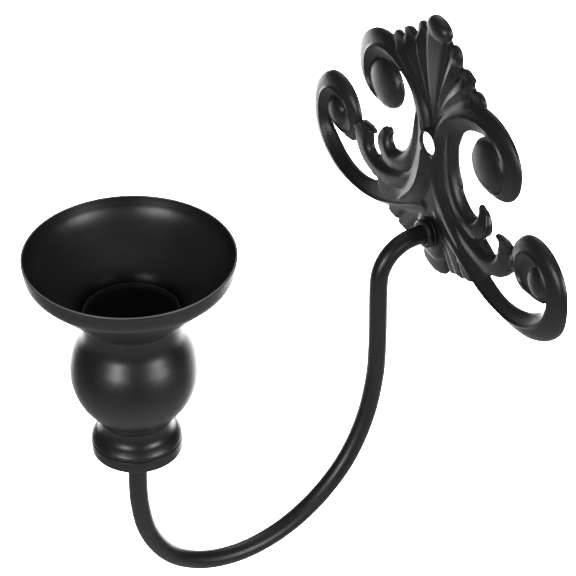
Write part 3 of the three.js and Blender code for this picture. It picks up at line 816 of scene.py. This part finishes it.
def centripetal(points, per):
    """Centripetal Catmull-Rom through the points, with per points to each span."""
    pts = np.array(points, float)
    knots = [0.0]
    for a, b in zip(pts[:-1], pts[1:]):
        knots.append(knots[-1] + math.sqrt(math.dist(a, b)))
    pts = np.vstack([2 * pts[0] - pts[1], pts, 2 * pts[-1] - pts[-2]])
    knots = [-knots[1]] + knots + [2 * knots[-1] - knots[-2]]

    def between(t, t_low, t_high, low, high):
        return ((t_high - t) * low + (t - t_low) * high) / (t_high - t_low)

    out = []
    for i in range(1, len(pts) - 2):
        p0, p1, p2, p3 = pts[i - 1:i + 3]
        t0, t1, t2, t3 = knots[i - 1:i + 3]
        for t in np.linspace(t1, t2, per, endpoint=False):
            a1 = between(t, t0, t1, p0, p1)
            a2 = between(t, t1, t2, p1, p2)
            a3 = between(t, t2, t3, p2, p3)
            b1 = between(t, t0, t2, a1, a2)
            b2 = between(t, t1, t3, a2, a3)
            out.append(between(t, t1, t2, b1, b2))
    return np.vstack(out + [pts[-2]])


def bar_line():
    """The bar's axis as evenly spaced [y, z] points, from the wall to the stud's shoulder."""
    angles = [k / BEND_STEPS * math.pi / 2 for k in range(BEND_STEPS + 1)]
    bend = [[-BAR_OUT - BEND_R * math.sin(a), BEND_R * math.cos(a) - BEND_R] for a in angles]
    line = np.vstack([[[0.0, 0.0]], centripetal(bend + SWEEP, SWEEP_STEPS)])
    return evenly(line, BAR_SPACING, closed=False)


def stud_profile(length):
    """Heights above the bar's shoulder and radii of the stud, with fine rings for its thread."""
    z, flare = STUD_FILLET
    rows = [(0.0, STUD_R + flare), (z, STUD_R)]
    while z < length - STUD_CHAMFER:
        z += STUD_PITCH
        rows.append((z, STUD_R - (STUD_GROOVE if len(rows) % 2 else 0)))
    return rows + [(length, STUD_R - STUD_TIP)]


def bar_piece():
    """Round bar along its line, chamfered at the wall, with its threaded stud inside the cup."""
    line = bar_line()
    tangent = np.gradient(line, axis=0)
    tangent /= np.hypot(*tangent.T)[:, None]
    rows = [(line[0], tangent[0], BAR_R - BAR_CHAMFER)]
    rows.append((line[0] + tangent[0] * BAR_CHAMFER, tangent[0], BAR_R))
    rows += [(p, t, BAR_R) for p, t in zip(line[1:], tangent[1:])]
    shoulder = line[-1]
    for h, r in stud_profile(BAR_TOP - shoulder[1]):
        rows.append((shoulder + [0, h], (0.0, 1.0), r))
    verts, faces = [], []
    for (y, z), (ty, tz), r in rows:
        for k in range(BAR_SIDES):
            w = 2 * math.pi * k / BAR_SIDES
            a, b = r * math.cos(w), r * math.sin(w)
            verts.append((a * MM, (y - tz * b) * MM, (z + ty * b) * MM))
    for i in range(len(rows) - 1):
        for k in range(BAR_SIDES):
            a, b = i * BAR_SIDES + k, i * BAR_SIDES + (k + 1) % BAR_SIDES
            faces.append((a, b, b + BAR_SIDES, a + BAR_SIDES))
    faces.append(tuple(range(BAR_SIDES))[::-1])
    faces.append(tuple(range((len(rows) - 1) * BAR_SIDES, len(rows) * BAR_SIDES)))
    return make_piece("bent_bar", verts, faces, BAR_CREASE)


# ---- materials ----
def grey(value, blue=0.0):
    """A grey with a touch of blue."""
    return (value, value, value + blue, 1)


def start_material(name):
    """A new material, its node tree and its shader."""
    mat = bpy.data.materials.new(name)
    mat.use_nodes = True
    return mat, mat.node_tree, mat.node_tree.nodes["Principled BSDF"]


def add_place(tree):
    """Places on the piece, in its own metres."""
    return tree.nodes.new("ShaderNodeTexCoord").outputs["Object"]


def add_noise(tree, place, scale, detail):
    noise = tree.nodes.new("ShaderNodeTexNoise")
    noise.inputs["Scale"].default_value = scale
    noise.inputs["Detail"].default_value = detail
    tree.links.new(place, noise.inputs["Vector"])
    return noise.outputs["Fac"]


def add_range(tree, value, low, high, to_low=0.0, to_high=1.0):
    """A value's stretch from low to high, laid out from to_low to to_high."""
    spread = tree.nodes.new("ShaderNodeMapRange")
    spread.inputs["From Min"].default_value = low
    spread.inputs["From Max"].default_value = high
    spread.inputs["To Min"].default_value = to_low
    spread.inputs["To Max"].default_value = to_high
    tree.links.new(value, spread.inputs["Value"])
    return spread.outputs["Result"]


def add_mix(tree, factor, first, second):
    """A colour between two, each of them a colour or another node's output."""
    mix = tree.nodes.new("ShaderNodeMix")
    mix.data_type = "RGBA"
    tree.links.new(factor, mix.inputs["Factor"])
    for socket, colour in ((mix.inputs["A"], first), (mix.inputs["B"], second)):
        if isinstance(colour, tuple):
            socket.default_value = colour
        else:
            tree.links.new(colour, socket)
    return mix.outputs["Result"]


def add_bump(tree, height, strength, distance, under=None):
    """Fine relief, on top of the one under it."""
    bump = tree.nodes.new("ShaderNodeBump")
    bump.inputs["Strength"].default_value = strength
    bump.inputs["Distance"].default_value = distance
    tree.links.new(height, bump.inputs["Height"])
    if under is not None:
        tree.links.new(under, bump.inputs["Normal"])
    return bump.outputs["Normal"]


# The last of these greys is a painted highlight along the top of the dish's rim.
# The middle tone is painted light: the socket's paint is a lighter black so that its shaded throat
# looks lit.
BLACK, SOCKET_PAINTED_LIGHT_TONE, RIM_HIGHLIGHT_GREY = 0.007, 0.03, 0.16
DARKER, LIGHTER, TINT = 0.85, 1.25, 0.03  # shares of the paint's tone
SATIN, FIXING_SATIN, GLOSSIER, DULLER = 0.38, 0.42, 0.03, 0.05  # roughness and its variation
PAINT_SPECULAR = 0.55
HIGHLIGHT_DEPTH, HIGHLIGHT_FADE = 0.3 * MM, 0.2 * MM  # of the painted highlight along the top of the dish's rim
# Noises, as scale per metre and detail, and the strength and depth of their relief.
CLOUD, CLOUD_LOW, CLOUD_HIGH = (60.0, 4.0), 0.3, 0.7
PEEL, PEEL_RELIEF = (240.0, 2.0), (0.16, 0.25 * MM)
GRAIN, GRAIN_RELIEF = (900.0, 3.0), (0.12, 0.1 * MM)
MOTTLE, MOTTLE_RELIEF = (500.0, 5.0), (0.2, 0.1 * MM)
ZINC_DARK, ZINC_LIGHT, ZINC_BLUE, ZINC_GLOSS = 0.42, 0.58, 0.01, (0.3, 0.5)


def satin_paint(name, tone=BLACK, rough=SATIN, highlight_above=None):
    """Satin black paint: faint tone and gloss variation, orange peel, and dust-fine grain.
    Above the height given last it turns to a dark grey, lighter than the black: a painted highlight."""
    mat, tree, shader = start_material(name)
    place = add_place(tree)
    cloud = add_noise(tree, place, *CLOUD)
    paint = add_mix(tree, cloud, grey(tone * DARKER, tone * TINT), grey(tone * LIGHTER, tone * TINT))
    if highlight_above is not None:
        # Painted highlight: above the given height the colour fades to a lighter grey.
        split = tree.nodes.new("ShaderNodeSeparateXYZ")
        tree.links.new(place, split.inputs["Vector"])
        painted_highlight = add_range(tree, split.outputs["Z"], highlight_above, highlight_above + HIGHLIGHT_FADE)
        paint = add_mix(tree, painted_highlight, paint, grey(RIM_HIGHLIGHT_GREY))
    gloss = add_range(tree, cloud, CLOUD_LOW, CLOUD_HIGH, rough - GLOSSIER, rough + DULLER)
    peel = add_bump(tree, add_noise(tree, place, *PEEL), *PEEL_RELIEF)
    grain = add_bump(tree, add_noise(tree, place, *GRAIN), *GRAIN_RELIEF, under=peel)
    tree.links.new(paint, shader.inputs["Base Color"])
    tree.links.new(gloss, shader.inputs["Roughness"])
    tree.links.new(grain, shader.inputs["Normal"])
    shader.inputs["Specular IOR Level"].default_value = PAINT_SPECULAR
    return mat


def zinc_plate(name):
    """Dull zinc plating, mottled in colour, gloss and relief."""
    mat, tree, shader = start_material(name)
    mottle = add_noise(tree, add_place(tree), *MOTTLE)
    colour = add_mix(tree, mottle, grey(ZINC_DARK, ZINC_BLUE), grey(ZINC_LIGHT, ZINC_BLUE))
    tree.links.new(colour, shader.inputs["Base Color"])
    tree.links.new(add_range(tree, mottle, 0, 1, *ZINC_GLOSS), shader.inputs["Roughness"])
    tree.links.new(add_bump(tree, mottle, *MOTTLE_RELIEF), shader.inputs["Normal"])
    shader.inputs["Metallic"].default_value = 1.0
    return mat


plate_paint = satin_paint("plate_paint")
bar_paint = satin_paint("bar_paint")
cup_paint = satin_paint("cup_paint")
# The dish's rim gets a painted highlight: lighter grey paint along its top edge.
rim_paint = satin_paint("rim_paint", highlight_above=DISH_HIGH * MM - HIGHLIGHT_DEPTH)
# Painted light: the socket's paint is a lighter black so that its shaded throat looks lit.
socket_painted_light = satin_paint("socket_painted_light", tone=SOCKET_PAINTED_LIGHT_TONE)
fixing_paint = satin_paint("fixing_paint", rough=FIXING_SATIN)
zinc = zinc_plate("zinc")


# ---- the pieces, each in place of its CAD node ----
def finish_piece(piece, node, mat):
    piece.data.materials.append(mat)
    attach(piece, "root")
    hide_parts(node)


finish_piece(plate_piece(), "wall_plate", plate_paint)
finish_piece(bar_piece(), "arm_bar", bar_paint)
finish_piece(collar_piece(), "front_collar", fixing_paint)
finish_piece(washer_piece("lock_washer", "front_washer", WASHER_R, BAR_BORE_R, Y, BAR_AXIS),
             "front_washer", fixing_paint)
finish_piece(washer_piece("back_washer", "rear_washer", REAR_WASHER_R, BAR_BORE_R, Y, BAR_AXIS),
             "rear_washer", zinc)
finish_piece(hex_piece("back_nut", "rear_nut", REAR_NUT_ACROSS, BAR_BORE_R, Y, BAR_AXIS),
             "rear_nut", zinc)
finish_piece(base_piece(), "base_disc", cup_paint)
finish_piece(foot_piece(), "foot_bell", cup_paint)
finish_piece(ball_piece(), "ball", cup_paint)
finish_piece(dish_piece(), "dish", rim_paint)
finish_piece(sleeve_piece(), "socket_sleeve", socket_painted_light)
finish_piece(washer_piece("inner_washer", "cup_washer", CUP_WASHER_R, BORE_R, Z, CUP, back_edge=0.3),
             "cup_washer", zinc)
finish_piece(hex_piece("inner_nut", "cup_nut", CUP_NUT_ACROSS, BORE_R, Z, CUP),
             "cup_nut", zinc)


# ---- studio (m, degrees, watts) ----
FLOOR_Z, FLOOR_HALF = -1.0, 12.0
FLOOR_WHITE, FLOOR_ROUGHNESS = 0.9, 0.9
ROOM_STRENGTH = 0.13
CAMERA_PLACE, CAMERA_DOWN, CAMERA_TURN = (0.73185, -0.5078, 0.6019), 35.46, 59.35
CAMERA_LENS, SENSOR_WIDTH = 159.1, 36.0  # mm
# Round softboxes: direction from the cup, distance, diameter and power.
SOFTBOXES = {
    "soft_left": ((0.49, -0.82, 0.29), 1.6, 0.6, 13),
    "soft_right": ((0.91, 0.33, 0.25), 1.6, 0.6, 13),
    "back_top": ((-0.7, 0.415, 0.62), 2.5, 1.3, 9),
    "overhead": ((-0.1, 0.1, 1), 2.2, 2.4, 7),
}
SPOT_PLACE, SPOT_POWER, SPOT_ANGLE = (-3.1, 2.1, 4.2), 8500, 64
SPOT_BLEND, SPOT_RADIUS = 0.25, 0.3


def floor():
    """A plain pale floor, well below the sconce."""
    h, z = FLOOR_HALF, FLOOR_Z
    mesh = bpy.data.meshes.new("floor")
    mesh.from_pydata([(-h, -h, z), (h, -h, z), (h, h, z), (-h, h, z)], [], [(0, 1, 2, 3)])
    mat, _, shader = start_material("floor_white")
    shader.inputs["Base Color"].default_value = grey(FLOOR_WHITE)
    shader.inputs["Roughness"].default_value = FLOOR_ROUGHNESS
    mesh.materials.append(mat)
    link_object("floor", mesh)


def world():
    """A dim white room, the same from every side."""
    room = bpy.data.worlds.new("studio")
    bpy.context.scene.world = room
    room.use_nodes = True
    back = room.node_tree.nodes["Background"]
    back.inputs["Color"].default_value = (1, 1, 1, 1)
    back.inputs["Strength"].default_value = ROOM_STRENGTH


def camera():
    """The camera, looking down at the sconce from its right."""
    data = bpy.data.cameras.new("camera")
    data.lens = CAMERA_LENS
    data.sensor_width = SENSOR_WIDTH
    obj = link_object("camera", data)
    obj.location = CAMERA_PLACE
    obj.rotation_euler = (math.radians(90 - CAMERA_DOWN), 0, math.radians(CAMERA_TURN))
    bpy.context.scene.camera = obj


def softbox(name, direction, distance, diameter, power):
    """A round area light at that distance from the cup, facing it."""
    data = bpy.data.lights.new(name, "AREA")
    data.shape = "DISK"
    data.size = diameter
    data.energy = power
    obj = link_object(name, data)
    way = Vector(direction).normalized()
    obj.location = Vector((0, CUP_Y * MM, 0)) + way * distance
    obj.rotation_mode = "QUATERNION"
    obj.rotation_quaternion = (-way).to_track_quat("-Z", "Y")


def backdrop_spot():
    """A wide soft pool of light on the floor behind the sconce, pointing straight down."""
    data = bpy.data.lights.new("backdrop_spot", "SPOT")
    data.energy = SPOT_POWER
    data.spot_size = math.radians(SPOT_ANGLE)
    data.spot_blend = SPOT_BLEND
    data.shadow_soft_size = SPOT_RADIUS
    link_object("backdrop_spot", data).location = SPOT_PLACE


floor()
world()
camera()
for name, settings in SOFTBOXES.items():
    softbox(name, *settings)
backdrop_spot()
bpy.context.scene.view_settings.view_transform = "Standard"
